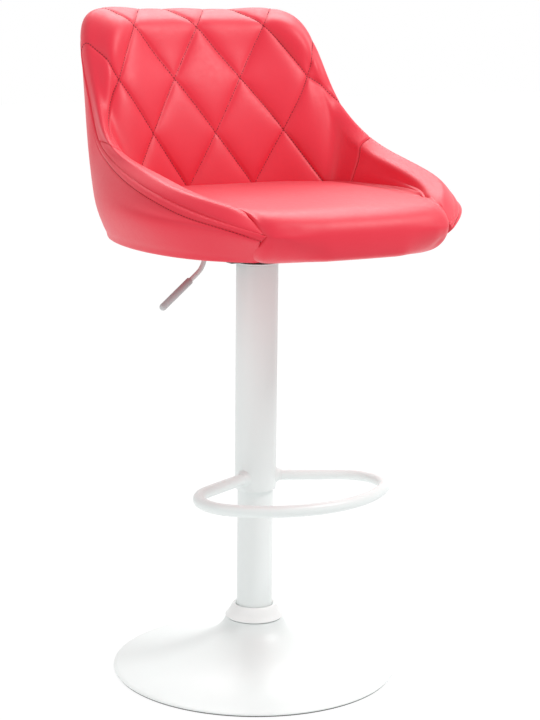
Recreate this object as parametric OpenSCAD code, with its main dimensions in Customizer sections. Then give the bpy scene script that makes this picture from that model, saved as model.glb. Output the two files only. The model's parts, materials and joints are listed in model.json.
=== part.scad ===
// Adjustable swivel stool: a quilted bucket seat on a gas lift column with a footrest and a round base.
// The origin is on the floor, on the axis of the column. +Z is up and the stool faces -Y.

/* [Base] */
// Diameter of the round base
base_d = 385; // [340:5:440]
// Thickness of the sheet that the base is spun from
base_sheet = 2; // [1.5:0.5:3]
// Outer diameter of the lower tube
lower_tube_d = 48; // [46:1:50]
// Height of the lower tube's upper end
lower_tube_top = 440; // [430:5:450]

/* [Column] */
// Outer diameter of the sleeve that rises with the seat
sleeve_d = 56; // [55:1:60]
// Height of the sleeve's lower edge
sleeve_bottom = 252.5; // [245:0.5:265]
// Height of the sleeve's upper end
sleeve_top = 558; // [550:1:558]
// Outer diameter of the gas cylinder
cylinder_d = 28; // [27:0.5:29]

/* [Footrest] */
// Diameter of the footrest's bar
bar_d = 15.5; // [12:0.5:18]
// Height of the footrest's centre plane
footrest_z = 270; // [265:1:300]
// Radius of the footrest's front arc
front_arc_r = 166; // [150:1:180]
// Distance from the column's axis to the centre of the front arc
front_arc_offset = 19; // [10:1:30]
// Radius of the footrest's corners
corner_r = 56; // [45:1:65]
// Angle of the footrest's legs, forward of straight sideways
leg_angle = 25.7; // [15:0.1:30]

/* [Seat] */
// Height of the seat's flat underside
seat_bottom = 594; // [594:1:596]
// Thickness of the plywood board
board_t = 14; // [12:1:15]
// Half width of the square mount plate
plate_half = 80; // [75:1:85]
// Distance of the mount bolts from the centre lines
bolt_offset = 62; // [55:1:65]

/* [Lever] */
// Diameter of the lever's rod
lever_d = 6.5; // [6:0.5:7]
// Diameter of the lever's grip sleeve
grip_d = 9.5; // [9:0.5:11]
// Height of the lever's level stretch
lever_z = 583; // [582:0.5:584]

/* [Hidden] */
$fn = 64;

WHITE = [0.95, 0.95, 0.95];
STEEL = [0.62, 0.64, 0.67];
BLACK = [0.12, 0.12, 0.13];
PLASTIC = [0.86, 0.86, 0.87];
PLY = [0.78, 0.62, 0.42];
RED = [0.86, 0.16, 0.22];

base_r = base_d / 2;
lower_r = lower_tube_d / 2;
lower_wall = 2;
lower_bore_r = lower_r - lower_wall;
sleeve_wall = 1.5;
sleeve_r = sleeve_d / 2;
sleeve_bore_r = sleeve_r - sleeve_wall;
cylinder_r = cylinder_d / 2;
bar_r = bar_d / 2;
lever_r = lever_d / 2;

// Heights in the seat
board_top = seat_bottom + board_t;

// Gaps: between parts that slide, between parts that are screwed together, and how far a cut goes past a face
slide_gap = 0.06;
screw_gap = 0.1;
tube_gap = 0.3;
past = 1;

// Base: heights, then radii
pad_top = 2;
pad_lip_z = 0.5;
pad_lip_w = 7;
ballast_top = 8;
flange_top = 13;
tube_foot = 13;
ballast_r = 142;
flange_r = 54;
flange_bolt_offset = 42;

// Ball bearing under the rod: height of its balls' lower cups, radius of the ring of balls and of one ball
bearing_z = 26;
ball_ring_r = 13;
ball_r = 2.2;
ball_step = 30;
ball_lift = 0.3;
race_r = 18;
race_from = 2;
race_to = 4.6;
seat_well_r = 9;
seat_well_floor = 3;
shoulder_r = 7.5;
shoulder_h = 4;
clip_r = 8;
clip_from = 6;
clip_to = 8;

// Gas lift
cylinder_foot = 170;
cylinder_head = 574;
cylinder_top_wall = 30;
gland_h = 12;
rod_r = 5;
rod_foot = 5;
piston_z = 330;
piston_h = 15;
bore_r = 12;
bush_h = 60;
bush_lip = 3;
sleeve_bush_h = 25;
cap_h = 12;
cap_lip = 2;

// Footrest's welded sockets
weld_wall = 1.6;
weld_from = 26;
weld_to = 34;
bar_inside = 6;
bar_sides = 24;

// Lever and valve
pivot_x = -30;
pivot_r = 2.5;
housing_half_y = 20;
housing_back = 40;
housing_front = -50;
housing_bottom = 563;
housing_t = 2;
socket_h = 10;
hub_r = 5.5;
hub_half = 7;
pin_end = 1.5;
rod_in_grip = 20;
valve_sunk = 25;
rod_sides = 16;
plate_t = 3;
plate_top = seat_bottom;
plate_bottom = plate_top - plate_t;
valve_r = 3.5;
valve_top = lever_z - lever_r - 0.3;
lever_start = [4, lever_z];
lever_corners = [[-75, lever_z], [-83, 556]];
lever_tip = [-143, 507];
bend_length = 9;
grip_length = 56;

// Bolts
m6_r = 3;
head_r = 5.5;
head_h = 4;
washer_r = 7;
washer_t = 1;
nut_r = 4;
nut_h = 9;
nut_flange_r = 9;
nut_flange_h = 1.2;
board_hole_r = nut_r + 0.05;

// ---------- small helpers ----------

function lerp(a, b, t) = a + (b - a) * t;

// Catmull-Rom curve between p1 and p2
function curve(p0, p1, p2, p3, t) =
    0.5 * (2 * p1 + (p2 - p0) * t + (2 * p0 - 5 * p1 + 4 * p2 - p3) * t * t
        + (3 * p1 - p0 - 3 * p2 + p3) * t * t * t);

// The point at place u, from 0 to len(list) - 1, on the curve through a list of points
function at(list, u) =
    let (last = len(list) - 1, i = min(floor(u), last - 1), t = u - i)
    let (before = i > 0 ? list[i - 1] : 2 * list[0] - list[1])
    let (after = i + 2 <= last ? list[i + 2] : 2 * list[last] - list[last - 1])
    curve(before, list[i], list[i + 1], after, t);

function mirrored(p) = [-p[0], p[1], p[2]];

// Faces that close a ring of n points, numbered from first, zipped from its two ends to its middle
function zipped(first, n) =
    let (half = floor(n / 2))
    concat(
        [
            for (i = [0:half - 2])
                each [
                    [first + i, first + n - 2 - i, first + i + 1],
                    [first + i, first + n - 1 - i, first + n - 2 - i]
                ]
        ],
        n % 2 == 1 ? [[first + half - 1, first + half + 1, first + half]] : []
    );

function flipped(faces) = [for (f = faces) [f[0], f[2], f[1]]];

// Closed solid through a list of rings that all have the same number of points
module skin(rings) {
    count = len(rings);
    around = len(rings[0]);
    points = [for (ring = rings) for (p = ring) p];
    sides = [
        for (i = [0:count - 2]) for (j = [0:around - 1])
            let (k = (j + 1) % around)
                each [
                    [i * around + j, (i + 1) * around + j, i * around + k],
                    [i * around + k, (i + 1) * around + j, (i + 1) * around + k]
                ]
    ];
    ends = concat(flipped(zipped(0, around)), zipped((count - 1) * around, around));
    polyhedron(points = points, faces = concat(sides, ends), convexity = 8);
}

// Rings of a round bar of radius r along a list of points that all lie in one plane with the given normal
function bar_rings(path, normal, r, sides) =
    let (last = len(path) - 1)
    [
        for (i = [0:last])
            let (v = path[min(i + 1, last)] - path[max(i - 1, 0)])
            let (across = cross(normal, v) / norm(v))
            [
                for (k = [0:sides - 1])
                    let (a = 360 * (k + 0.3) / sides) path[i] + r * (cos(a) * across + sin(a) * normal)
            ]
    ];

module at_bolts() {
    for (sx = [-1, 1]) for (sy = [-1, 1])
        translate([sx * bolt_offset, sy * bolt_offset, 0]) children();
}

// Tube of revolution between two radii and two heights
module ring(outer, inner, from, to) {
    translate([0, 0, from])
        difference() {
            cylinder(r = outer, h = to - from);
            translate([0, 0, -1]) cylinder(r = inner, h = to - from + 2);
        }
}

// Stands its children on the line from a to b
module along(a, b) {
    v = b - a;
    translate(a) rotate([0, acos(v[2] / norm(v)), atan2(v[1], v[0])]) children();
}

// Rod between two points, with exact ends
module rod(a, b, r) {
    along(a, b) cylinder(r = r, h = norm(b - a));
}

// ---------- base ----------

// Outer profile of the dish as [radius, height], from the rim to the neck
dish_profile = [[base_r, 4], [base_r - 7, 5], [150, 11], [100, 25], [62, 44], [44, 60], [38, 71]];
dish_steps = 30;

function dish_point(i) = at(dish_profile, i * (len(dish_profile) - 1) / dish_steps);

module base_dish() {
    outer = [for (i = [0:dish_steps]) dish_point(i)];
    inner = [for (i = [dish_steps:-1:0]) dish_point(i) - [i == 0 ? 0 : base_sheet * 0.6, base_sheet]];
    color(WHITE)
        rotate_extrude()
            polygon(concat(outer, inner));
}

module floor_pad() {
    color(BLACK)
        union() {
            cylinder(r = base_r - 2 * base_sheet, h = pad_top);
            ring(base_r - base_sheet, base_r - base_sheet - pad_lip_w, pad_lip_z, pad_top);
        }
}

module ballast_plate() {
    color(STEEL)
        difference() {
            translate([0, 0, pad_top]) cylinder(r = ballast_r, h = ballast_top - pad_top);
            at_flange_bolts() flange_hole();
        }
}

module at_flange_bolts() {
    for (a = [45:90:315]) rotate([0, 0, a]) translate([flange_bolt_offset, 0, 0]) children();
}

module flange_hole() {
    translate([0, 0, pad_top - past]) cylinder(r = m6_r + screw_gap, h = flange_top - pad_top + 2 * past);
}

module tube_flange() {
    color(STEEL)
        difference() {
            translate([0, 0, ballast_top]) cylinder(r = flange_r, h = flange_top - ballast_top);
            at_flange_bolts() flange_hole();
        }
}

module flange_bolts() {
    color(STEEL)
        at_flange_bolts() {
            translate([0, 0, pad_top + pad_lip_z]) cylinder(r = m6_r, h = flange_top - pad_top);
            translate([0, 0, flange_top]) cylinder(r = head_r, h = head_h, $fn = 6);
        }
}

module lower_tube() {
    color(WHITE) ring(lower_r, lower_bore_r, tube_foot, lower_tube_top);
}

// Profile of the plastic ring that hides the joint between the dish and the tube, as [radius, height]
collar_profile = [
    [lower_r + tube_gap, 74], [38.5, 71.5], [39.5, 73], [38.5, 76], [31, 89], [29.5, 90], [27.5, 90], [26.5, 87],
    [lower_r + tube_gap, 84]
];

module collar_ring() {
    color(PLASTIC) rotate_extrude() polygon(collar_profile);
}

module guide_bush() {
    color(BLACK)
        union() {
            ring(lower_bore_r, cylinder_r + slide_gap, lower_tube_top - bush_h, lower_tube_top);
            ring(lower_r, cylinder_r + slide_gap, lower_tube_top, lower_tube_top + bush_lip);
        }
}

module bearing_seat() {
    color(STEEL)
        difference() {
            translate([0, 0, tube_foot]) cylinder(r = lower_bore_r, h = bearing_z - tube_foot);
            translate([0, 0, tube_foot + seat_well_floor]) cylinder(r = seat_well_r, h = bearing_z);
            translate([0, 0, bearing_z]) rotate_extrude() translate([ball_ring_r, 0]) circle(r = ball_r + 0.15);
        }
}

// ---------- rod of the gas lift ----------

module piston_rod() {
    color(STEEL)
        union() {
            translate([0, 0, tube_foot + rod_foot])
                cylinder(r = rod_r, h = piston_z - tube_foot - rod_foot);
            translate([0, 0, bearing_z + race_to]) cylinder(r = shoulder_r, h = shoulder_h);
        }
}

module piston_head() {
    color(BLACK)
        translate([0, 0, piston_z]) cylinder(r = bore_r - slide_gap, h = piston_h);
}

module bearing_race() {
    color(STEEL)
        difference() {
            ring(race_r, rod_r, bearing_z + race_from, bearing_z + race_to);
            translate([0, 0, bearing_z + ball_lift])
                rotate_extrude() translate([ball_ring_r, 0]) circle(r = ball_r + screw_gap);
        }
}

module bearing_balls() {
    color(STEEL)
        for (a = [0:ball_step:360 - ball_step])
            rotate([0, 0, a]) translate([ball_ring_r, 0, bearing_z + ball_lift]) sphere(r = ball_r);
}

module rod_clip() {
    color(STEEL) ring(clip_r, rod_r, tube_foot + clip_from, tube_foot + clip_to);
}

// ---------- cylinder, sleeve and footrest ----------

module gas_cylinder() {
    color(STEEL)
        difference() {
            translate([0, 0, cylinder_foot]) cylinder(r = cylinder_r, h = cylinder_head - cylinder_foot);
            translate([0, 0, cylinder_foot - past])
                cylinder(r = bore_r, h = cylinder_head - cylinder_top_wall - cylinder_foot + past);
            translate([0, 0, cylinder_head - cylinder_top_wall - past])
                cylinder(r = valve_r + tube_gap, h = cylinder_top_wall + 2 * past);
        }
}

module cylinder_gland() {
    color(BLACK) ring(bore_r, rod_r + slide_gap, cylinder_foot + 1, cylinder_foot + gland_h);
}

// The sleeve, with a small round-over at its lower edge
module sleeve_tube() {
    inner_round = 0.5;
    outer_round = 0.7;
    color(WHITE)
        rotate_extrude()
            polygon([
                [sleeve_bore_r, sleeve_top], [sleeve_bore_r, sleeve_bottom + inner_round],
                [sleeve_bore_r + inner_round, sleeve_bottom], [sleeve_r - outer_round, sleeve_bottom],
                [sleeve_r, sleeve_bottom + outer_round], [sleeve_r, sleeve_top]
            ]);
}

module sleeve_bush() {
    foot = sleeve_bottom + 1;
    color(PLASTIC) ring(sleeve_bore_r, lower_r + tube_gap, foot, foot + sleeve_bush_h);
}

module sleeve_cap() {
    color(PLASTIC)
        union() {
            ring(sleeve_bore_r, cylinder_r, sleeve_top - cap_h, sleeve_top);
            ring(sleeve_r, cylinder_r, sleeve_top, sleeve_top + cap_lip);
        }
}

// The corner arc touches the leg's line and the front arc from inside.
leg_dir = [cos(leg_angle), sin(leg_angle)];
leg_normal = [-sin(leg_angle), cos(leg_angle)];
corner_base = corner_r * leg_normal - [0, front_arc_offset];
corner_b = corner_base * leg_dir;
corner_t = -corner_b + sqrt(corner_b * corner_b - corner_base * corner_base + pow(front_arc_r - corner_r, 2));
corner_c = corner_r * leg_normal + corner_t * leg_dir;
corner_to_front = atan2(corner_c[1] - front_arc_offset, corner_c[0]);

// Half of the bar's centre line, from inside the sleeve to the middle of the front
half_path = concat(
    [leg_dir * (sleeve_r - bar_inside)],
    [for (a = [leg_angle - 90:12:corner_to_front - 4]) corner_c + corner_r * [cos(a), sin(a)]],
    [
        for (i = [0:8])
            let (a = lerp(corner_to_front, 90, i / 8)) [0, front_arc_offset] + front_arc_r * [cos(a), sin(a)]
    ]
);
bar_path = [
    for (p = concat(half_path, [for (i = [len(half_path) - 2:-1:0]) [-half_path[i][0], half_path[i][1]]]))
        [p[0], -p[1], footrest_z]
];

module footrest_bar() {
    color(WHITE)
        difference() {
            skin(bar_rings(bar_path, [0, 0, 1], bar_r, bar_sides));
            sleeve_cut();
        }
}

// What the sleeve takes out of the parts welded to it
module sleeve_cut() {
    translate([0, 0, footrest_z]) cylinder(r = sleeve_r, h = 4 * bar_r, center = true);
}

// Two rods along the legs, between two distances from the axis
module leg_rods(from, to, r) {
    translate([0, 0, footrest_z])
        for (side = [0, 1])
            mirror([side, 0, 0])
                mirror([0, 1, 0]) rod(concat(leg_dir * from, 0), concat(leg_dir * to, 0), r);
}

module footrest_collars() {
    color(WHITE)
        difference() {
            leg_rods(weld_from, weld_to, bar_r + weld_wall);
            sleeve_cut();
            leg_rods(weld_from - bar_inside, weld_to + bar_inside, bar_r + 0.05);
        }
}

// ---------- seat mechanism ----------

module mount_socket() {
    color(STEEL)
        difference() {
            translate([0, 0, housing_bottom + housing_t])
                cylinder(r = housing_half_y - housing_t - 0.5, h = socket_h);
            translate([0, 0, housing_bottom]) cylinder(r = cylinder_r, h = 2 * socket_h);
        }
}

// A folded channel, open towards the lever's side
module lever_housing() {
    depth = 2 * housing_half_y;
    color(STEEL)
        difference() {
            translate([housing_front, -housing_half_y, housing_bottom])
                cube([housing_back - housing_front, depth, plate_bottom - housing_bottom]);
            translate([housing_front - past, -housing_half_y + housing_t, housing_bottom + housing_t])
                cube([housing_back - housing_front + past - housing_t, depth - 2 * housing_t, depth]);
            translate([0, 0, housing_bottom - past]) cylinder(r = cylinder_r, h = housing_t + 2 * past);
            translate([pivot_x, 0, lever_z])
                rotate([90, 0, 0]) cylinder(r = pivot_r, h = depth + 2 * past, center = true);
        }
}

module mount_plate() {
    color(STEEL)
        difference() {
            translate([-plate_half, -plate_half, plate_bottom]) cube([2 * plate_half, 2 * plate_half, plate_t]);
            at_bolts()
                translate([0, 0, plate_bottom - past]) cylinder(r = m6_r + 4 * screw_gap, h = plate_t + 2 * past);
        }
}

module mount_washers() {
    color(STEEL) at_bolts() ring(washer_r, m6_r + screw_gap, plate_bottom - washer_t, plate_bottom);
}

module mount_bolts() {
    head = plate_bottom - washer_t;
    color(STEEL)
        at_bolts() {
            translate([0, 0, head]) cylinder(r = m6_r, h = seat_bottom + board_t - head);
            translate([0, 0, head - head_h]) cylinder(r = head_r, h = head_h, $fn = 6);
        }
}

module t_nuts() {
    color(STEEL)
        at_bolts() {
            ring(nut_r, m6_r, board_top - nut_h, board_top);
            ring(nut_flange_r, m6_r, board_top, board_top + nut_flange_h);
        }
}

module lever_pin() {
    color(STEEL)
        translate([pivot_x, 0, lever_z])
            rotate([90, 0, 0]) cylinder(r = pivot_r, h = 2 * (housing_half_y + pin_end), center = true);
}

// ---------- lever and valve ----------

// A smooth turn at b, on the way from a to c
function turn(a, b, c) =
    let (from = b + bend_length * (a - b) / norm(a - b), to = b + bend_length * (c - b) / norm(c - b))
    [for (i = [0:6]) let (t = i / 6) (1 - t) * (1 - t) * from + 2 * t * (1 - t) * b + t * t * to];

// The rod's centre line: level, round two bends and down into the grip
grip_dir = (lever_tip - lever_corners[1]) / norm(lever_tip - lever_corners[1]);
grip_start = lever_tip - grip_length * grip_dir;
lever_line = concat(
    [lever_start],
    turn(lever_start, lever_corners[0], lever_corners[1]),
    turn(lever_corners[0], lever_corners[1], lever_tip),
    [grip_start + rod_in_grip * grip_dir]
);

function upright(p) = [p[0], 0, p[1]];

module lever_rod() {
    color(WHITE)
        difference() {
            union() {
                skin(bar_rings([for (p = lever_line) upright(p)], [0, 1, 0], lever_r, rod_sides));
                translate([pivot_x, 0, lever_z - 0.2])
                    rotate([90, 0, 0]) cylinder(r = hub_r, h = 2 * hub_half, center = true);
            }
            translate([pivot_x, 0, lever_z])
                rotate([90, 0, 0]) cylinder(r = pivot_r + 0.05, h = 2 * (hub_half + past), center = true);
        }
}

// The grip is bored for the rod's end and its tip is round.
module lever_grip() {
    r = grip_d / 2;
    bore = lever_r + screw_gap;
    bore_end = rod_in_grip + 0.2;
    chamfer = 0.8;
    tip = [for (a = [0:10:80]) [r * cos(a), grip_length - r + r * sin(a)]];
    color(PLASTIC)
        along(upright(grip_start), upright(lever_tip))
            rotate_extrude()
                polygon(concat(
                    [[bore, 0], [r - chamfer, 0], [r, chamfer]], tip,
                    [[0, grip_length], [0, bore_end], [bore, bore_end]]
                ));
}

module valve_pin() {
    foot = cylinder_head - valve_sunk;
    color(BLACK) translate([0, 0, foot]) cylinder(r = valve_r, h = valve_top - foot);
}

// ---------- seat ----------
// Each rail runs from the middle of the back (station 0), over the side of the back (station 3), along the arm
// and to the front end of the arm (station 8), on the sitter's left. The other side is its mirror image.

floor_rail = [
    [0, 166, 594], [75, 161, 594], [130, 141, 594], [168, 100, 594], [192, 40, 594], [202, -35, 594],
    [194, -110, 594], [166, -172, 594], [118, -212, 594]
];
belt_rail = [
    [0, 196, 650], [80, 190, 650], [140, 165, 650], [182, 112, 648], [214, 40, 645], [229, -40, 641],
    [222, -125, 636], [185, -193, 630], [138, -240, 620]
];
waist_rail = [
    [0, 216, 760], [80, 213, 760], [146, 195, 758], [186, 124, 706], [200, 62, 690], [219, -36, 668],
    [215, -128, 652], [181, -200, 640], [136, -245, 626]
];
seam_rail = [
    [0, 236, 872], [80, 233, 871], [163, 191, 865], [183, 124, 766], [193, 70, 714], [207, -30, 687],
    [204, -125, 667], [171, -203, 646], [132, -247, 630]
];
crest_rail = [
    [0, 212, 886], [80, 208, 886], [162, 177, 873], [182, 112, 780], [194, 38, 718], [193, -50, 694],
    [186, -137, 676], [156, -196, 662], [136, -215, 651]
];
inner_top_rail = [
    [0, 175, 869], [80, 169, 868], [143, 140, 853], [170, 100, 765], [176, 42, 707], [172, -50, 684],
    [164, -130, 668], [145, -180, 658], [130, -205, 648]
];
inner_mid_rail = [
    [0, 124, 757], [72, 119, 756], [129, 99, 748], [157, 80, 708], [168, 39, 685], [169, -46, 671],
    [163, -122, 662], [145, -172, 656], [129, -203, 644]
];
crease_rail = [
    [0, 98, 648], [58, 97, 650], [108, 87, 651], [143, 66, 652], [158, 40, 653], [164, -40, 655],
    [160, -110, 656], [144, -165, 654], [128, -200, 640]
];
inner_foot_rail = [for (p = crease_rail) [p[0], p[1], board_top + 2]];

arm_station = 4;
last_station = 8;
frame_station = 7.75;
board_station = 7.5;
seam_gap = 0.03;
stations_per = 4;

// Depths of the layers in the wall, from 0 outside to 1 inside, and their heights, from 0 at the foot to 3
cover_w = 0.13;
frame_w0 = 0.16;
frame_w1 = 0.38;
pad_w = 0.41;
board_w = 0.43;
cover_t = 2.97;
frame_t0 = 0.08;
frame_t1 = 2.75;
pad_gap_t = 0.05;
pad_foot_t = 0.5;

// How high the pads' tops swell over the straight line between their rails
pad_swell = [0, 0, 2];

// A rail's point at station s, which is negative on the mirrored side
function rail(list, s) =
    let (full = concat([mirrored(list[1])], list))
    let (p = at(full, 1 + abs(s)))
    s < 0 ? mirrored(p) : p;

// The wall's outer and inner surfaces, from t = 0 at the foot to t = 3 at the top
function outer_at(s, t) = at([for (r = [floor_rail, belt_rail, waist_rail, seam_rail]) rail(r, s)], t);
function inner_at(s, t) =
    at([for (r = [inner_foot_rail, crease_rail, inner_mid_rail, inner_top_rail]) rail(r, s)], t);

// A point in the wall, from w = 0 outside to w = 1 inside
function wall_at(s, t, w) = lerp(outer_at(s, t), inner_at(s, t), w);

// A closed band of the wall between two depths and two heights
function band(s, t0, t1, w0, w1, steps) = concat(
    [for (i = [0:steps]) wall_at(s, lerp(t0, t1, i / steps), w0)],
    [for (i = [steps:-1:0]) wall_at(s, lerp(t0, t1, i / steps), w1)]
);

function stations(from, to) =
    let (n = round((to - from) * stations_per))
    [for (i = [0:n]) lerp(from, to, i / n)];

module outer_cover() {
    color(RED) skin([for (s = stations(-last_station, last_station)) band(s, 0, cover_t, 0, cover_w, 9)]);
}

module shell_frame() {
    color(PLY) skin([
        for (s = stations(-frame_station, frame_station)) band(s, frame_t0, frame_t1, frame_w0, frame_w1, 7)
    ]);
}

// The pad's section: up behind the face, over the top of the frame, over the crest and down the face
function pad_section(s, foot) =
    let (crest = rail(crest_rail, s))
    concat(
        [for (i = [0:5]) wall_at(s, lerp(foot, frame_t1 + pad_gap_t, i / 5), pad_w)],
        [wall_at(s, frame_t1 + pad_gap_t, frame_w0), wall_at(s, 3, frame_w0)],
        [
            lerp(crest, wall_at(s, 3, frame_w0), 0.45) + pad_swell, crest,
            lerp(crest, wall_at(s, 3, 1), 0.5) + pad_swell
        ],
        [for (i = [0:6]) wall_at(s, lerp(3, foot, i / 6), 1)]
    );

module back_pad() {
    end = arm_station - seam_gap;
    color(RED) skin([for (s = stations(-end, end)) pad_section(s, pad_foot_t)]);
}

module arm_pad(side) {
    list = stations(arm_station + seam_gap, last_station);
    ordered = side > 0 ? list : [for (i = [len(list) - 1:-1:0]) -list[i]];
    color(RED) skin([for (s = ordered) pad_section(s, pad_foot_t)]);
}

module arm_pad_left() {
    arm_pad(1);
}

module arm_pad_right() {
    arm_pad(-1);
}

// A thin round bead along the seam at the top of the outer cover
module edge_piping() {
    bead = 1.6;
    color(RED)
        skin([
            for (s = stations(-last_station, last_station))
                let (c = wall_at(s, 3, cover_w / 2), u = wall_at(s, 3, 0) - wall_at(s, 3, cover_w))
                let (out = u / norm(u), up = [0, 0, 1])
                [for (a = [0:60:300]) c + out * (bead * cos(a) + 1) + up * (bead * sin(a) + bead + 0.3)]
        ]);
}

// Outline of the cushion's front, from the crease's end to the middle
front_outline = [[124.5, -203], [124, -240], [98, -256], [50, -264], [0, -267]];
cushion_middle = [0, -40];

// The dust cloth under the board: its height, thickness and gap
cloth_z = 0.3;
cloth_t = 1;
cloth_gap = 0.2;

module seat_board() {
    color(PLY)
        difference() {
            translate([0, 0, seat_bottom + cloth_z + cloth_t + cloth_gap])
                linear_extrude(height = board_t - cloth_z - cloth_t - cloth_gap)
                    polygon(board_outline());
            at_bolts() translate([0, 0, seat_bottom]) cylinder(r = board_hole_r, h = board_t + past);
        }
}

// The board fills the inside of the frame and stops short of the cushion's front
function board_outline() =
    let (half = [for (s = stations(0, board_station)) let (p = wall_at(s, 0, board_w)) [p[0], p[1]]])
    let (nose = [[90, -212], [45, -220], [0, -223]])
    let (right = concat(half, nose))
    concat(right, [for (i = [len(right) - 2:-1:1]) [-right[i][0], right[i][1]]]);

module bottom_cover() {
    color(BLACK)
        difference() {
            translate([0, 0, seat_bottom + cloth_z])
                linear_extrude(height = cloth_t)
                    polygon(board_outline());
            at_bolts() translate([0, 0, seat_bottom - past]) cylinder(r = board_hole_r, h = cloth_t + 2 * past);
        }
}

// Rings of the cushion from its crown to its underside: [inset beside the pads, inset at the front, height]
cushion_levels = [
    [110, 120, 657], [60, 70, 656], [16, 22, 652], [6, 8, 646], [3, 1, 636], [3, 1, 625], [5, 6, 612],
    [10, 14, 600], [14, 32, 595]
];

function inset(p, d) = cushion_middle + (p - cushion_middle) * (1 - d / norm(p - cushion_middle));

function cushion_outline(side_inset, front_inset) =
    let (side = [
        for (s = stations(0, last_station))
            let (p = rail(crease_rail, s)) inset([p[0], p[1]], side_inset)
    ])
    let (nose = [
        for (i = [1:8])
            let (d = lerp(side_inset, front_inset, min(1, i / 3)))
            inset(at(front_outline, i / 2), d)
    ])
    let (half = concat(side, nose))
    concat(half, [for (i = [len(half) - 2:-1:1]) [-half[i][0], half[i][1]]]);

// The cushion is hollowed for the board and for the nuts' flanges on it
board_room = 1.004;
nut_room = 3;

module seat_cushion() {
    color(RED)
        difference() {
            skin([for (v = cushion_levels) [for (p = cushion_outline(v[0], v[1])) [p[0], p[1], v[2]]]]);
            translate([0, 0, seat_bottom - past])
                linear_extrude(height = board_top + nut_room - seat_bottom + past)
                    polygon(board_outline() * board_room);
        }
}

base_dish();
floor_pad();
ballast_plate();
tube_flange();
flange_bolts();
lower_tube();
collar_ring();
guide_bush();
bearing_seat();
piston_rod();
piston_head();
bearing_race();
bearing_balls();
rod_clip();
gas_cylinder();
cylinder_gland();
sleeve_tube();
sleeve_bush();
sleeve_cap();
footrest_bar();
footrest_collars();
mount_socket();
lever_housing();
mount_plate();
mount_bolts();
mount_washers();
t_nuts();
lever_pin();
seat_board();
bottom_cover();
shell_frame();
outer_cover();
edge_piping();
back_pad();
arm_pad_left();
arm_pad_right();
seat_cushion();
lever_rod();
lever_grip();
valve_pin();
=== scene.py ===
"""Looks of an adjustable swivel stool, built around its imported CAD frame.

Everything is in metres in the frame's own axes: the floor is z = 0, the column stands on the
Z axis and the stool faces -Y. The seat's rails are in millimetres, as its design gives them.
"""
import json
import math

import bmesh
import bpy
import numpy as np
from mathutils import Matrix, Vector


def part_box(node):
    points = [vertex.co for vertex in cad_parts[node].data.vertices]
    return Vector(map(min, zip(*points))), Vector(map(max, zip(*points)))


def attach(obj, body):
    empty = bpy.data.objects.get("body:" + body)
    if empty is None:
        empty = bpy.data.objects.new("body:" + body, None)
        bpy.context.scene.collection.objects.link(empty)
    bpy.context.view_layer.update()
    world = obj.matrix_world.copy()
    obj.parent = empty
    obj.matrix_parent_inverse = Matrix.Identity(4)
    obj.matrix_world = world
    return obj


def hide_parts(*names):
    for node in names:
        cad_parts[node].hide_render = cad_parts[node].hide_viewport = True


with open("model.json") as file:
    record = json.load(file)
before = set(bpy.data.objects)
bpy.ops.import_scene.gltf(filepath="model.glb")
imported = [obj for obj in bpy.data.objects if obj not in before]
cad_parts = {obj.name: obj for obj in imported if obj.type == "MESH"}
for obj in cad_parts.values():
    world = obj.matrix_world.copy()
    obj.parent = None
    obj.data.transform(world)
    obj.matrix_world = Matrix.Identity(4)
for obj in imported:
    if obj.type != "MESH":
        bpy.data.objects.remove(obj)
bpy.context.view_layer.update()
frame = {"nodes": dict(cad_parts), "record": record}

MM = 0.001
scene = bpy.context.scene

# ---------- camera, light and floor ----------

CAMERA_PLACE = Vector((-1.195, -2.081, 0.907))
CAMERA_AZIMUTH = math.radians(30.0)
CAMERA_DROP = math.radians(11.2)
CAMERA_ROLL = math.radians(0.55)
FOCAL_PX = 1834.0
FRAME_HEIGHT = 720
SENSOR_MM = 36.0
SHIFT = (0.0130, -0.0042)

ROOM_LIGHT = 0.55
FLOOR_HALF = 12.0
FLOOR_GREY = 0.12
FLOOR_GLOW = 0.88


def make_camera():
    data = bpy.data.cameras.new("camera")
    data.sensor_width = SENSOR_MM
    data.lens = FOCAL_PX * SENSOR_MM / FRAME_HEIGHT
    data.shift_x, data.shift_y = SHIFT
    camera = bpy.data.objects.new("camera", data)
    turn = Matrix.Rotation(-CAMERA_AZIMUTH, 4, "Z")
    tilt = Matrix.Rotation(math.pi / 2 - CAMERA_DROP, 4, "X")
    roll = Matrix.Rotation(CAMERA_ROLL, 4, "Z")
    camera.matrix_world = Matrix.Translation(CAMERA_PLACE) @ turn @ tilt @ roll
    scene.collection.objects.link(camera)
    scene.camera = camera


def area_light(name, place, target, size, power):
    data = bpy.data.lights.new(name, "AREA")
    data.shape = "RECTANGLE"
    data.size, data.size_y = size
    data.energy = power
    light = bpy.data.objects.new(name, data)
    light.location = Vector(place)
    light.rotation_mode = "QUATERNION"
    light.rotation_quaternion = (Vector(target) - Vector(place)).to_track_quat("-Z", "Y")
    scene.collection.objects.link(light)


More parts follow.
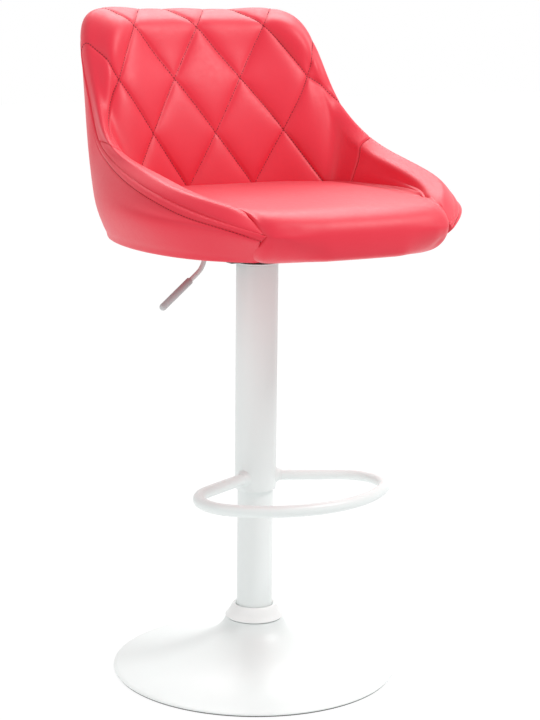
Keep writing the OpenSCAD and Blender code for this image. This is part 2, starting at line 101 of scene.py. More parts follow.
def make_studio():
    world = bpy.data.worlds.new("studio")
    world.use_nodes = True
    tree = world.node_tree
    background = tree.nodes["Background"]
    background.inputs["Color"].default_value = (1.0, 1.0, 1.0, 1.0)
    path = tree.nodes.new("ShaderNodeLightPath")
    seen = tree.nodes.new("ShaderNodeMath")
    seen.operation = "MAXIMUM"
    tree.links.new(path.outputs["Is Camera Ray"], seen.inputs[0])
    tree.links.new(path.outputs["Is Glossy Ray"], seen.inputs[1])
    strength = tree.nodes.new("ShaderNodeMapRange")
    strength.inputs["To Min"].default_value = ROOM_LIGHT
    strength.inputs["To Max"].default_value = 1.0
    tree.links.new(seen.outputs["Value"], strength.inputs["Value"])
    tree.links.new(strength.outputs["Result"], background.inputs["Strength"])
    scene.world = world
    scene.view_settings.view_transform = "Standard"
    seat_middle = (0.0, 0.0, 0.72)
    area_light("key", (1.6, -1.3, 3.0), seat_middle, (1.1, 1.1), 55.0)
    area_light("side", (-2.2, -0.7, 1.3), (0.0, 0.0, 0.5), (1.0, 2.0), 9.0)
    area_light("top", (0.9, 1.4, 2.5), seat_middle, (1.6, 1.2), 34.0)


def make_floor():
    corners = [(x * FLOOR_HALF, y * FLOOR_HALF, 0) for x, y in ((-1, -1), (1, -1), (1, 1), (-1, 1))]
    mesh = bpy.data.meshes.new("floor")
    mesh.from_pydata(corners, [], [(0, 1, 2, 3)])
    floor = bpy.data.objects.new("floor", mesh)
    scene.collection.objects.link(floor)
    material = bpy.data.materials.new("floor")
    material.use_nodes = True
    shader = material.node_tree.nodes["Principled BSDF"]
    shader.inputs["Base Color"].default_value = (FLOOR_GREY, FLOOR_GREY, FLOOR_GREY, 1.0)
    shader.inputs["Roughness"].default_value = 0.9
    shader.inputs["Emission Color"].default_value = (1.0, 1.0, 1.0, 1.0)
    shader.inputs["Emission Strength"].default_value = FLOOR_GLOW
    mesh.materials.append(material)


# ---------- materials ----------


class Nodes:
    """Short names for building one material's nodes."""

    def __init__(self, name):
        self.material = bpy.data.materials.new(name)
        self.material.use_nodes = True
        self.tree = self.material.node_tree
        self.shader = self.tree.nodes["Principled BSDF"]
        self.place = self.add("ShaderNodeTexCoord").outputs["Object"]

    def add(self, kind, **inputs):
        node = self.tree.nodes.new(kind)
        for name, value in inputs.items():
            self.put(node.inputs[name], value)
        return node

    def put(self, socket, value):
        if isinstance(value, bpy.types.NodeSocket):
            self.tree.links.new(value, socket)
        else:
            socket.default_value = value

    def set(self, **inputs):
        for name, value in inputs.items():
            self.put(self.shader.inputs[name.replace("_", " ")], value)

    def noise(self, scale, detail=2.0, roughness=0.5, place=None):
        node = self.add("ShaderNodeTexNoise", Scale=scale, Detail=detail, Roughness=roughness)
        self.put(node.inputs["Vector"], place or self.place)
        return node.outputs["Fac"]

    def cells(self, scale):
        node = self.add("ShaderNodeTexVoronoi", Scale=scale)
        self.put(node.inputs["Vector"], self.place)
        return node.outputs["Distance"]

    def stretched(self, scale):
        node = self.add("ShaderNodeMapping", Vector=self.place)
        node.inputs["Scale"].default_value = scale
        return node.outputs["Vector"]

    def spread(self, value, low, high):
        node = self.add("ShaderNodeMapRange", Value=value)
        node.inputs["To Min"].default_value = low
        node.inputs["To Max"].default_value = high
        return node.outputs["Result"]

    def sum(self, a, b):
        node = self.add("ShaderNodeMath")
        node.operation = "ADD"
        self.put(node.inputs[0], a)
        self.put(node.inputs[1], b)
        return node.outputs["Value"]

    def blend(self, share, a, b):
        node = self.add("ShaderNodeMix")
        node.data_type = "RGBA"
        self.put(node.inputs["Factor"], share)
        self.put(node.inputs[6], (*a, 1.0) if isinstance(a, tuple) else a)
        self.put(node.inputs[7], (*b, 1.0) if isinstance(b, tuple) else b)
        return node.outputs[2]

    def bump(self, height, strength, distance, normal=None):
        node = self.add("ShaderNodeBump", Height=height, Strength=strength, Distance=distance)
        if normal is not None:
            self.put(node.inputs["Normal"], normal)
        return node.outputs["Normal"]


def leather(name, colour, deep):
    """Smooth coated leather: pores, a faint pebble grain and soft variations of its colour."""
    n = Nodes(name)
    clouds = n.noise(9.0, 3.0)
    specks = n.noise(420.0, 2.0)
    tone = n.blend(n.spread(clouds, 0.0, 0.55), colour, deep)
    shade = n.blend(n.spread(specks, 0.0, 0.16), tone, deep)
    pebbles = n.cells(900.0)
    pores = n.noise(1700.0, 2.0)
    grain = n.bump(n.sum(pebbles, pores), 0.16, 0.00025)
    creases = n.bump(n.noise(70.0, 4.0), 0.10, 0.0012, grain)
    n.set(
        Base_Color=shade, Roughness=n.spread(n.noise(160.0, 3.0), 0.40, 0.54), Normal=creases,
        Specular_IOR_Level=0.42, Sheen_Weight=0.16, Sheen_Roughness=0.45,
    )
    return n.material


def thread(name, colour, deep):
    """Twisted sewing thread."""
    n = Nodes(name)
    twist = n.noise(2600.0, 2.0)
    n.set(Base_Color=n.blend(twist, colour, deep), Roughness=0.62, Normal=n.bump(twist, 0.5, 0.0002))
    return n.material


def powder_coat(name, colour, worn, roughness):
    """Satin powder coat with its fine orange peel and a few faint marks."""
    n = Nodes(name)
    peel = n.noise(650.0, 2.0)
    marks = n.noise(14.0, 5.0, 0.6)
    n.set(
        Base_Color=n.blend(n.spread(marks, 0.0, 0.5), colour, worn),
        Roughness=n.spread(n.noise(60.0, 3.0), roughness - 0.05, roughness + 0.07),
        Normal=n.bump(peel, 0.12, 0.0004), Coat_Weight=0.12, Coat_Roughness=0.35,
    )
    return n.material


def moulded(name, colour, worn, roughness):
    """Moulded plastic or rubber with a fine spark grain."""
    n = Nodes(name)
    grain = n.noise(1500.0, 3.0)
    n.set(
        Base_Color=n.blend(n.spread(n.noise(30.0, 4.0), 0.0, 0.6), colour, worn),
        Roughness=n.spread(grain, roughness - 0.06, roughness + 0.08), Normal=n.bump(grain, 0.22, 0.0003),
    )
    return n.material


def plated_steel(name, colour, worn, stretch):
    """Zinc-plated or ground steel with fine turning marks along one direction."""
    n = Nodes(name)
    lines = n.noise(90.0, 4.0, place=n.stretched(stretch))
    n.set(
        Base_Color=n.blend(n.spread(lines, 0.0, 0.7), colour, worn), Metallic=1.0,
        Roughness=n.spread(lines, 0.22, 0.42), Normal=n.bump(lines, 0.15, 0.0003),
    )
    return n.material


def casting(name, colour, worn):
    """Rough cast iron."""
    n = Nodes(name)
    lumps = n.noise(240.0, 5.0, 0.65)
    n.set(
        Base_Color=n.blend(n.spread(n.noise(35.0, 4.0), 0.0, 0.8), colour, worn), Metallic=0.7,
        Roughness=n.spread(lumps, 0.55, 0.8), Normal=n.bump(lumps, 0.5, 0.0008),
    )
    return n.material


def plywood(name, light, dark):
    """Birch plywood: long fibres and thin darker glue lines between its plies."""
    n = Nodes(name)
    fibres = n.noise(22.0, 6.0, 0.6, n.stretched((1.0, 14.0, 14.0)))
    plies = n.add("ShaderNodeTexWave", Vector=n.place, Scale=110.0, Distortion=0.4)
    plies.bands_direction = "Z"
    grain = n.blend(n.spread(fibres, 0.0, 1.0), light, dark)
    glue = n.blend(n.spread(plies.outputs["Fac"], 0.0, 0.35), grain, dark)
    n.set(Base_Color=glue, Roughness=n.spread(fibres, 0.55, 0.75), Normal=n.bump(fibres, 0.3, 0.0004))
    return n.material


def felted(name, colour, light):
    """Thin non-woven cloth of pressed fibres."""
    n = Nodes(name)
    fibres = n.noise(900.0, 5.0, 0.7, n.stretched((1.0, 0.35, 1.0)))
    dots = n.cells(500.0)
    n.set(
        Base_Color=n.blend(n.spread(fibres, 0.0, 0.7), colour, light), Roughness=0.93,
        Normal=n.bump(n.sum(fibres, dots), 0.5, 0.0004), Sheen_Weight=0.2,
    )
    return n.material


MATERIALS = {
    "red_leather": leather("red_leather", (0.81, 0.026, 0.055), (0.69, 0.013, 0.036)),
    "red_thread": thread("red_thread", (0.34, 0.006, 0.022), (0.20, 0.003, 0.012)),
    # white_metal: its colour and worn colour are tinted slightly cool, a painted correction that cancels
    # the red light bounced onto it from the leather.
    "white_metal": powder_coat("white_metal", (0.84, 0.88, 0.87), (0.79, 0.83, 0.82), 0.38),
    "lever_metal": powder_coat("lever_metal", (0.66, 0.66, 0.655), (0.58, 0.58, 0.575), 0.34),
    "black_metal": powder_coat("black_metal", (0.022, 0.022, 0.024), (0.045, 0.045, 0.047), 0.42),
    "steel": plated_steel("steel", (0.62, 0.63, 0.65), (0.45, 0.46, 0.47), (1.0, 1.0, 24.0)),
    "cast": casting("cast", (0.10, 0.10, 0.105), (0.19, 0.16, 0.14)),
    "white_plastic": moulded("white_plastic", (0.90, 0.92, 0.91), (0.84, 0.86, 0.85), 0.42),
    "grip_plastic": moulded("grip_plastic", (0.56, 0.56, 0.565), (0.47, 0.47, 0.475), 0.40),
    "black_plastic": moulded("black_plastic", (0.02, 0.02, 0.022), (0.045, 0.045, 0.047), 0.48),
    "rubber": moulded("rubber", (0.10, 0.10, 0.10), (0.14, 0.14, 0.135), 0.78),
    "plywood": plywood("plywood", (0.62, 0.43, 0.25), (0.38, 0.23, 0.11)),
    "dust_cloth": felted("dust_cloth", (0.012, 0.012, 0.013), (0.05, 0.05, 0.052)),
}


def finish_cad_nodes():
    """Gives each CAD node the material of its slot in the record."""
    for part in frame["record"]["subparts"]:
        node = frame["nodes"][part["node"]]
        material = MATERIALS[part["material_slot"]]
        if not node.material_slots:
            node.data.materials.append(material)
        for held in node.material_slots:
            held.material = material


# ---------- building pieces ----------


def new_piece(name, points, faces, material, body, replaced=(), sharp_deg=None):
    """One smooth mesh that rides on a CAD body."""
    mesh = bpy.data.meshes.new(name)
    mesh.from_pydata(np.asarray(points).tolist(), [], faces)
    mesh.validate()
    mesh.materials.append(MATERIALS[material])
    mesh.shade_smooth()
    if sharp_deg:
        mesh.set_sharp_from_angle(angle=math.radians(sharp_deg))
    piece = bpy.data.objects.new(name, mesh)
    scene.collection.objects.link(piece)
    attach(piece, body)
    if replaced:
        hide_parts(*replaced)
    return piece


def outward(piece):
    """Turns a closed piece's faces outward."""
    data = bmesh.new()
    data.from_mesh(piece.data)
    bmesh.ops.recalc_face_normals(data, faces=data.faces)
    data.to_mesh(piece.data)
    data.free()


def seat_piece(name, points, faces, replaced, material="red_leather"):
    """A closed piece of the seat, from points in millimetres."""
    piece = new_piece(name, np.reshape(points, (-1, 3)) * MM, faces, material, "seat", replaced=[replaced])
    outward(piece)
    return piece


def grid_faces(rows, columns, around=False, first=0):
    """Quads of a grid whose points run column by column along each row."""
    wrap = columns if around else columns - 1
    return [
        (first + i * columns + j, first + i * columns + (j + 1) % columns,
         first + (i + 1) * columns + (j + 1) % columns, first + (i + 1) * columns + j)
        for i in range(rows - 1) for j in range(wrap)
    ]


def zipped_end(first, n, flip):
    """Quads across a closed ring of an even number n of points, from its two ends to its middle."""
    quads = []
    for i in range(n // 2 - 1):
        quad = (first + i, first + i + 1, first + n - 2 - i, first + n - 1 - i)
        quads.append(quad[::-1] if flip else quad)
    return quads


def ring_skin(rings):
    """Points and faces of a closed skin through rings of the same number of points."""
    rings = np.asarray(rings)
    rows, around = rings.shape[:2]
    last = (rows - 1) * around
    faces = grid_faces(rows, around, True) + zipped_end(0, around, True) + zipped_end(last, around, False)
    return rings.reshape(-1, 3), faces


def spline(knots, points, u):
    """Natural cubic spline through points at the knots, at the places u."""
    knots, points, u = (np.asarray(x, float) for x in (knots, points, u))
    step = np.diff(knots)
    n = len(knots)
    a = np.eye(n)
    b = np.zeros_like(points)
    for i in range(1, n - 1):
        a[i, i - 1:i + 2] = step[i - 1], 2 * (step[i - 1] + step[i]), step[i]
        b[i] = 6 * ((points[i + 1] - points[i]) / step[i] - (points[i] - points[i - 1]) / step[i - 1])
    m = np.linalg.solve(a, b)
    k = np.clip(np.searchsorted(knots, u, side="right") - 1, 0, n - 2)
    w = step[k][:, None]
    left = (knots[k + 1] - u)[:, None]
    right = (u - knots[k])[:, None]
    return (
        (m[k] * left**3 + m[k + 1] * right**3) / (6 * w)
        + (points[k] / w - m[k] * w / 6) * left
        + (points[k + 1] / w - m[k + 1] * w / 6) * right
    )


def lengths(points):
    """Distance along a line of points."""
    steps = np.linalg.norm(np.diff(points, axis=0), axis=1)
    return np.concatenate([[0.0], np.cumsum(steps)])


def at_run(run, values, places):
    """Values along a line at places on its run."""
    return np.stack([np.interp(places, run, values[:, i]) for i in range(values.shape[1])], axis=1)


def resampled(points, places):
    """Points at given shares, 0 to 1, of the length of the smooth curve through the points."""
    chords = lengths(points)
    fine = spline(chords, points, np.linspace(0, chords[-1], 12 * len(points)))
    run = lengths(fine)
    return at_run(run, fine, np.asarray(places) * run[-1])


def round_ring(centre, radius, across, up, sides):
    """Points of a circle round a centre, from the direction across towards the direction up."""
    turns = np.linspace(0, 2 * math.pi, sides, endpoint=False)
    return [centre + radius * (math.cos(t) * across + math.sin(t) * up) for t in turns]


def loop_faces(rings, n, flip=False):
    """Quads of a skin through a closed loop of rings of n points."""
    faces = [tuple(i % (rings * n) for i in f) for f in grid_faces(rings + 1, n, True)]
    return [(a, d, c, b) for a, b, c, d in faces] if flip else faces


def revolved(name, profile, material, body, replaced, segments=144, sharp_deg=35):
    """A closed profile of (radius, height) points turned round the Z axis."""
    angles = np.linspace(0, 2 * math.pi, segments, endpoint=False)
    rings = [[(r * math.cos(a), r * math.sin(a), z) for r, z in profile] for a in angles]
    points = np.asarray(rings).reshape(-1, 3)
    faces = loop_faces(segments, len(profile), flip=True)
    return new_piece(name, points, faces, material, body, replaced=replaced, sharp_deg=sharp_deg)


def swept_tube(path, normal, radius, sides):
    """Rings of a round bar along a line of points in one plane with the given normal."""
    path = np.asarray(path, float)
    normal = np.asarray(normal, float)
    across = np.cross(normal, np.gradient(path, axis=0))
    across /= np.linalg.norm(across, axis=1)[:, None]
    return np.array([round_ring(p, radius, a, normal, sides) for p, a in zip(path, across)])


# ---------- base and column ----------

BASE_SHEET = 0.002
BASE_GAP = 0.0004
TUBE_WALL = 0.002
SLEEVE_WALL = 0.0015


def size_of(node):
    """Outer radius, lowest and highest point of a round CAD node, in metres."""
    low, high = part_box(node)
    return (high.x - low.x) / 2, low.z, high.z


def round_over(corner_r, corner_z, size, from_deg, to_deg, steps=5):
    """Points of a small arc whose centre lies at the given radius and height."""
    return [
        (corner_r + size * math.cos(math.radians(a)), corner_z + size * math.sin(math.radians(a)))
        for a in np.linspace(from_deg, to_deg, steps)
    ]


def make_base():
    radius, low, _ = size_of("base_dish")
    edge = BASE_SHEET / 2
    knots = np.array([
        (radius - 0.003, 0.0056), (0.1855, 0.0062), (0.150, 0.0112), (0.100, 0.025), (0.062, 0.044),
        (0.044, 0.060), (0.038, 0.071),
    ])
    flat = np.column_stack([knots, np.zeros(len(knots))])
    outer = resampled(flat, np.linspace(0, 1, 60))[:, :2]
    inner = outer[::-1] - np.array([BASE_SHEET * 0.6, BASE_SHEET])
    rim = round_over(radius - edge, low + BASE_GAP + edge, edge, -90, 90, 9)
    profile = rim + [tuple(p) for p in outer] + [tuple(p) for p in inner]
    revolved("base_shell", profile, "white_metal", "base", ["base_dish"], 224)

    tube_r, tube_low, tube_high = size_of("lower_tube")
    tube_lip = 0.0006
    tube_bore = tube_r - TUBE_WALL
    tube = round_over(tube_r - tube_lip, tube_high - tube_lip, tube_lip, 0, 90)
    tube += [(tube_bore, tube_high), (tube_bore, tube_low), (tube_r, tube_low)]
    revolved("inner_column", tube, "white_metal", "base", ["lower_tube"])

    ring_r, ring_low, ring_high = size_of("collar_ring")
    bore = tube_r + 0.0003
    hollow = 0.004
    neck = 0.0277
    foot_lip, neck_lip = 0.0012, 0.0016
    collar = [(bore, ring_low + hollow), (ring_r - 0.003, ring_low)]
    collar += round_over(ring_r - foot_lip, ring_low + neck_lip, foot_lip, -60, 40)
    collar += [(0.0365, 0.0765), (0.0338, 0.0812), (0.0312, 0.0858)]
    collar += round_over(neck, ring_high - neck_lip, neck_lip, 50, 110)
    collar += [(neck - 0.002, ring_high - 0.001), (bore, ring_high - hollow)]
    revolved("base_collar", collar, "white_plastic", "base", ["collar_ring"])


def make_sleeve():
    radius, low, high = size_of("sleeve_tube")
    bore = radius - SLEEVE_WALL
    lip = 0.0007
    chamfer = 0.0005
    profile = round_over(radius - lip, low + lip, lip, -90, 0)
    profile += round_over(radius - lip, high - lip, lip, 0, 90)
    profile += [(bore, high), (bore, low + chamfer), (bore + chamfer, low)]
    revolved("column_sleeve", profile, "white_metal", "seat", ["sleeve_tube"])


LEG_ANGLE = math.radians(25.7)
FRONT_ARC_R = 0.166
FRONT_ARC_OFFSET = 0.019
CORNER_R = 0.056
LEG_START = 0.022
# Each leg's weld onto the sleeve
WELD_SINK = 0.0006
WELD_LENGTH = 0.0075
WELD_SWELL = 0.0042
WELD_CLEARANCE = 0.0002


def footrest_half():
    """Half of the footrest's centre line in plan, from the column to the middle of its front.

    Forward is +Y here."""
    leg = np.array([math.cos(LEG_ANGLE), math.sin(LEG_ANGLE)])
    normal = np.array([-leg[1], leg[0]])
    start = CORNER_R * normal - np.array([0, FRONT_ARC_OFFSET])
    b = start @ leg
    reach = -b + math.sqrt(b * b - start @ start + (FRONT_ARC_R - CORNER_R) ** 2)
    corner = CORNER_R * normal + reach * leg
    swing = math.atan2(corner[1] - FRONT_ARC_OFFSET, corner[0])
    straight = [leg * r for r in np.linspace(LEG_START, reach, 14)[:-1]]
    bend = [
        corner + CORNER_R * np.array([math.cos(a), math.sin(a)])
        for a in np.linspace(LEG_ANGLE - math.pi / 2, swing, 28)[:-1]
    ]
    front = [
        np.array([0, FRONT_ARC_OFFSET]) + FRONT_ARC_R * np.array([math.cos(a), math.sin(a)])
        for a in np.linspace(swing, math.pi / 2, 26)
    ]
    return straight + bend + front


def make_footrest():
    low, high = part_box("footrest_bar")
    level, radius = (low.z + high.z) / 2, (high.z - low.z) / 2
    half = footrest_half()
    plan = half + [np.array([-p[0], p[1]]) for p in half[-2::-1]]
    path = np.array([(p[0], -p[1], level) for p in plan])
    for _ in range(3):
        path[1:-1] = (path[:-2] + 2 * path[1:-1] + path[2:]) / 4
    points, faces = ring_skin(swept_tube(path, (0, 0, 1), radius, 32))
    new_piece("footrest_loop", points, faces, "white_metal", "seat", replaced=["footrest_bar"])

    points, faces = [], []
    for side in (1, -1):
        more_points, more_faces = ring_skin(weld_rings(side, level, radius))
        faces += [tuple(i + len(points) for i in f) for f in more_faces]
        points += more_points.tolist()
    new_piece("footrest_welds", points, faces, "white_metal", "seat", replaced=["footrest_collars"])


def weld_rings(side, level, radius):
    """Rings of the weld that spreads from one leg of the footrest onto the sleeve."""
    sleeve_r = size_of("sleeve_tube")[0]
    heading = np.array([side * math.cos(LEG_ANGLE), -math.sin(LEG_ANGLE), 0])
    across = np.array([-heading[1], heading[0], 0])
    up = np.array([0, 0, 1.0])
    rings = []
    for share in np.linspace(0, 1, 9):
        r = radius + WELD_CLEARANCE + WELD_SWELL * (1 - share) ** 2.2
        ring = []
        for off in round_ring(np.zeros(3), r, across, up, 40):
            surface = math.sqrt(max(sleeve_r**2 - (off @ across) ** 2, 0)) - WELD_SINK
            ring.append(heading * (surface + WELD_LENGTH * share) + off + up * level)
        rings.append(ring)
    return rings


# ---------- lever ----------


def rounded_line(corners, bend):
    """A line through corners with each inner corner turned smoothly."""
    line = [np.asarray(corners[0], float)]
    for a, b, c in zip(corners, corners[1:], corners[2:]):
        a, b, c = (np.asarray(x, float) for x in (a, b, c))
        start = b + bend * (a - b) / np.linalg.norm(a - b)
        end = b + bend * (c - b) / np.linalg.norm(c - b)
        line += [(1 - t) ** 2 * start + 2 * t * (1 - t) * b + t * t * end for t in np.linspace(0, 1, 12)]
    return np.array(line + [np.asarray(corners[-1], float)])


LEVER_CORNERS = [(0.004, 0, 0.583), (-0.075, 0, 0.583), (-0.083, 0, 0.556), (-0.143, 0, 0.507)]
LEVER_BEND = 0.009
LEVER_R = 0.0032
LEVER_PIVOT = (-0.030, 0, 0.583)
HUB_R = 0.0055
HUB_BORE = 0.0026
HUB_HALF = 0.007
HUB_CHAMFER = 0.0006
HUB_SEGMENTS = 40
GRIP_LENGTH = 0.056
GRIP_R = 0.00475
GRIP_BORE = 0.0006
GRIP_CHAMFER = 0.0009
GRIP_NOSE = 0.0062
GRIP_TIP_R = 0.0002
ROD_IN_GRIP = 0.018


def make_lever():
    line = rounded_line(LEVER_CORNERS, LEVER_BEND)
    tip = line[-1]
    grip_way = tip - np.asarray(LEVER_CORNERS[-2])
    grip_way /= np.linalg.norm(grip_way)
    mouth = tip - GRIP_LENGTH * grip_way
    line[-1] = mouth + ROD_IN_GRIP * grip_way
    points, faces = ring_skin(swept_tube(resampled(line, np.linspace(0, 1, 110)), (0, 1, 0), LEVER_R, 20))
    new_piece("lever_bar", points, faces, "lever_metal", "lever", replaced=["lever_rod"])

    rim = HUB_R - HUB_CHAMFER
    half_hub = [(-HUB_HALF, HUB_BORE), (-HUB_HALF, rim), (-HUB_HALF + HUB_CHAMFER, HUB_R)]
    hub = half_hub + [(-y, r) for y, r in half_hub[::-1]]
    rings = [
        [(LEVER_PIVOT[0] + r * math.cos(t), y, LEVER_PIVOT[2] + r * math.sin(t)) for y, r in hub]
        for t in np.linspace(0, 2 * math.pi, HUB_SEGMENTS, endpoint=False)
    ]
    faces = loop_faces(HUB_SEGMENTS, len(hub))
    new_piece("lever_hub", np.reshape(rings, (-1, 3)), faces, "lever_metal", "lever", sharp_deg=35)

    profile = [(0.0, GRIP_BORE), (0.0, GRIP_R - GRIP_CHAMFER), (GRIP_CHAMFER, GRIP_R)]
    profile += [(GRIP_LENGTH - GRIP_NOSE, GRIP_R)]
    profile += [
        (GRIP_LENGTH - GRIP_R + GRIP_R * math.sin(a), max(GRIP_R * math.cos(a), GRIP_TIP_R))
        for a in np.linspace(0.05, math.pi / 2, 12)
    ]
    side = np.array([0, 1.0, 0])
    up = np.cross(side, grip_way)
    rings = [round_ring(mouth + x * grip_way, r, side, up, 28) for x, r in profile]
    points, faces = ring_skin(rings)
    new_piece("lever_sleeve", points, faces, "grip_plastic", "lever", replaced=["lever_grip"], sharp_deg=50)


# ---------- seat surfaces ----------
# Each rail runs from the middle of the back (station 0) round its side, along the arm and to the arm's
# front end (station 8), on the sitter's left, in millimetres. The other side is its mirror image.

RAILS = {
    "floor": [
        (0, 166, 594), (75, 161, 594), (130, 141, 594), (168, 100, 594), (192, 40, 594), (202, -35, 594),
        (194, -110, 594), (166, -172, 594), (118, -212, 594),
    ],
    "belt": [
        (0, 196, 650), (80, 190, 650), (140, 165, 650), (182, 112, 648), (214, 40, 645), (229, -40, 641),
        (222, -125, 636), (185, -193, 630), (138, -240, 620),
    ],
    "waist": [
        (0, 216, 760), (80, 213, 760), (146, 195, 758), (186, 124, 706), (200, 62, 690), (219, -36, 668),
        (215, -128, 652), (181, -200, 640), (136, -245, 626),
    ],
    "seam": [
        (0, 236, 872), (80, 233, 871), (163, 191, 865), (183, 124, 766), (193, 70, 714), (207, -30, 687),
        (204, -125, 667), (171, -203, 646), (132, -247, 630),
    ],
    "crest": [
        (0, 212, 886), (80, 208, 886), (162, 177, 873), (182, 112, 780), (194, 38, 718), (193, -50, 694),
        (186, -137, 676), (156, -196, 662), (136, -215, 651),
    ],
    "inner_top": [
        (0, 175, 869), (80, 169, 868), (143, 140, 853), (170, 100, 765), (176, 42, 707), (172, -50, 684),
        (164, -130, 668), (145, -180, 658), (130, -205, 648),
    ],
    "inner_mid": [
        (0, 124, 757), (72, 119, 756), (129, 99, 748), (157, 80, 708), (168, 39, 685), (169, -46, 671),
        (163, -122, 662), (145, -172, 656), (129, -203, 644),
    ],
    "crease": [
        (0, 98, 648), (58, 97, 650), (108, 87, 651), (143, 66, 652), (158, 40, 653), (164, -40, 655),
        (160, -110, 656), (144, -165, 654), (128, -200, 640),
    ],
}
STATIONS = 8
# The pads and the panel run on a little past the last station; the back meets an arm at ARM_STATION
END_REACH = 0.03
ARM_STATION = 3.92
SEAM_GAP = 0.005
SEAM_SLANT = 0.32
SEAM_DEPTH = 1.3
SEAM_HALF = 1.8
UNDERSIDE = 594
BOARD_TOP = 608
# Points lie closer together in a band at a piece's ends and along its top
EDGE_BAND = 9.0
EDGE_STEP = 0.9
TOP_BAND = 12.0
TOP_STEP = 1.2
# Shares: of a pad's face that rolls over the crest, and of the wall's depth where its hidden side lies
ROLL_SHARE = 0.08
PAD_DEPTH = 0.42
# Which of a pad's control points lies in the crease, and how its roll is rounded
CREASE_INDEX = 11
SHOULDER_LIFT = 2.0
SHOULDER_SWELL = 1.5
BROW_LIFT = 2.2
FORWARD, BACKWARD, INWARD = (0, -1, 0), (0, 1, 0), (-1, 0, 0)


def rail(name, s):
    """Points of a rail at stations s, which are negative on the mirrored side, in millimetres."""
    half = np.array(RAILS[name], float)
    other = half[:0:-1] * (-1, 1, 1)
    return spline(np.arange(-STATIONS, STATIONS + 1), np.vstack([other, half]), s)


def inner_foot(s):
    """The inner wall's lowest line, straight below the crease."""
    foot = rail("crease", s)
    foot[:, 2] = BOARD_TOP + 2
    return foot


def wall(sides, t):
    """Rows of points of a wall through rails, one for each height t from 0 to len(sides) - 1."""
    stack = np.stack(sides)
    flat = stack.reshape(len(sides), -1)
    return spline(np.arange(len(sides)), flat, np.atleast_1d(t)).reshape(-1, *stack.shape[1:])


def outer_wall(s, t):
    return wall([rail("floor", s), rail("belt", s), rail("waist", s), rail("seam", s)], t)


def inner_wall(s, t):
    return wall([inner_foot(s), rail("crease", s), rail("inner_mid", s), rail("inner_top", s)], t)


def spaced_stations(first, last, step):
    """Stations about step millimetres apart on the crest, closer together near both ends.

    Also gives each one's distance along the crest and the whole length."""
    fine = np.linspace(first, last, 1500)
    run = lengths(rail("crest", fine))
    middle = np.arange(EDGE_BAND, run[-1] - EDGE_BAND, step)
    ends = np.arange(0, EDGE_BAND, EDGE_STEP)
    places = np.concatenate([ends, middle, run[-1] - ends[::-1]])
    return np.interp(places, run, fine), places, run[-1]


def normals_of(grid, at, way):
    """Unit normals of a grid of points, on the side that faces the given way at one of its points."""
    along = np.gradient(grid, axis=0)
    up = np.gradient(grid, axis=1)
    n = np.cross(along, up)
    n /= np.maximum(np.linalg.norm(n, axis=2, keepdims=True), 1e-9)
    return n if n[at] @ way >= 0 else -n


def hidden_wall(s, depth, t):
    """Rows of points inside the wall at a depth from 0 outside to 1 inside."""
    outer, inner = outer_wall(s, t), inner_wall(s, t)
    return np.moveaxis(outer + depth * (inner - outer), 0, 1)


def pad_lines(s):
    """For each station, control points of a pad's skin, from the seam over the crest to the seat."""
    seam, crest, top = rail("seam", s), rail("crest", s), rail("inner_top", s)
    face = inner_wall(s, np.array([2.7, 2.35, 2.0, 1.65, 1.3, 1.0, 0.75]))
    tuck = hidden_wall(s, 0.16, 2.9)[:, 0]
    lip = seam + 0.05 * (crest - seam)
    outward_way = (seam - top) / np.linalg.norm(seam - top, axis=1)[:, None]
    shoulder = seam + 0.5 * (crest - seam) + (0, 0, SHOULDER_LIFT) + SHOULDER_SWELL * outward_way
    brow = crest + 0.5 * (top - crest) + (0, 0, BROW_LIFT)
    return np.stack([tuck, lip, shoulder, crest, brow, top, *face], axis=1)


def pad_grid(s, rows, below):
    """A pad's shown surface: for each station, rows of points from the seam to a little below the crease.

    Also gives each point's distance up from the crease."""
    grid, heights = [], []
    for line in pad_lines(s):
        chords = lengths(line)
        places = np.linspace(0, chords[-1], 170)
        fine = spline(chords, line, places)
        run = lengths(fine)
        crease = np.interp(chords[CREASE_INDEX], places, run)
        down = np.concatenate([rows * crease, crease + below * (run[-1] - crease)])
        grid.append(at_run(run, fine, down))
        heights.append(crease - down)
    return np.array(grid), np.array(heights)


def rows_for(length, step):
    """Shares 0 to 1 of a length, closer together at the start."""
    near = np.arange(0, TOP_BAND, TOP_STEP)
    far = np.linspace(TOP_BAND, length, int((length - TOP_BAND) / step))
    return np.concatenate([near, far]) / length


def rows_share(rows, count):
    """Each row's share of the way from the seam to the crease, and 1 for the rows below it."""
    return np.concatenate([rows, np.ones(count - len(rows))])


def smooth(x):
    """0 to 1 with level ends."""
    x = np.clip(x, 0, 1)
    return x * x * (3 - 2 * x)


def rolled_edges(grid, normals, from_end, row_share):
    """Sinks a grid's first and last stations into their seams, by each row's share of the full depth."""
    sink = SEAM_DEPTH * np.exp(-((from_end / SEAM_HALF) ** 2))
    return grid - normals * (sink[:, None] * row_share)[:, :, None]


def slant_of(share):
    """How far forward, in stations, the seam between the back and an arm has moved at each row."""
    down = np.clip((share - ROLL_SHARE) / (1 - ROLL_SHARE), 0, 1)
    return SEAM_SLANT * (1 - (1 - down) ** 2)


def read_at(values, s, places):
    """A grid whose rows are read at other stations: places holds one station for each of its points."""
    rows = range(values.shape[1])
    return np.stack([at_run(s, values[:, row], places[:, row]) for row in rows], axis=1)


def strip_faces(a, b):
    """Triangles between two lines of point numbers that run the same way."""
    faces, i, j = [], 0, 0
    while i < len(a) - 1 or j < len(b) - 1:
        if j == len(b) - 1 or (i < len(a) - 1 and (i + 1) / len(a) <= (j + 1) / len(b)):
            faces.append((a[i], a[i + 1], b[j]))
            i += 1
        else:
            faces.append((a[i], b[j + 1], b[j]))
            j += 1
    return faces


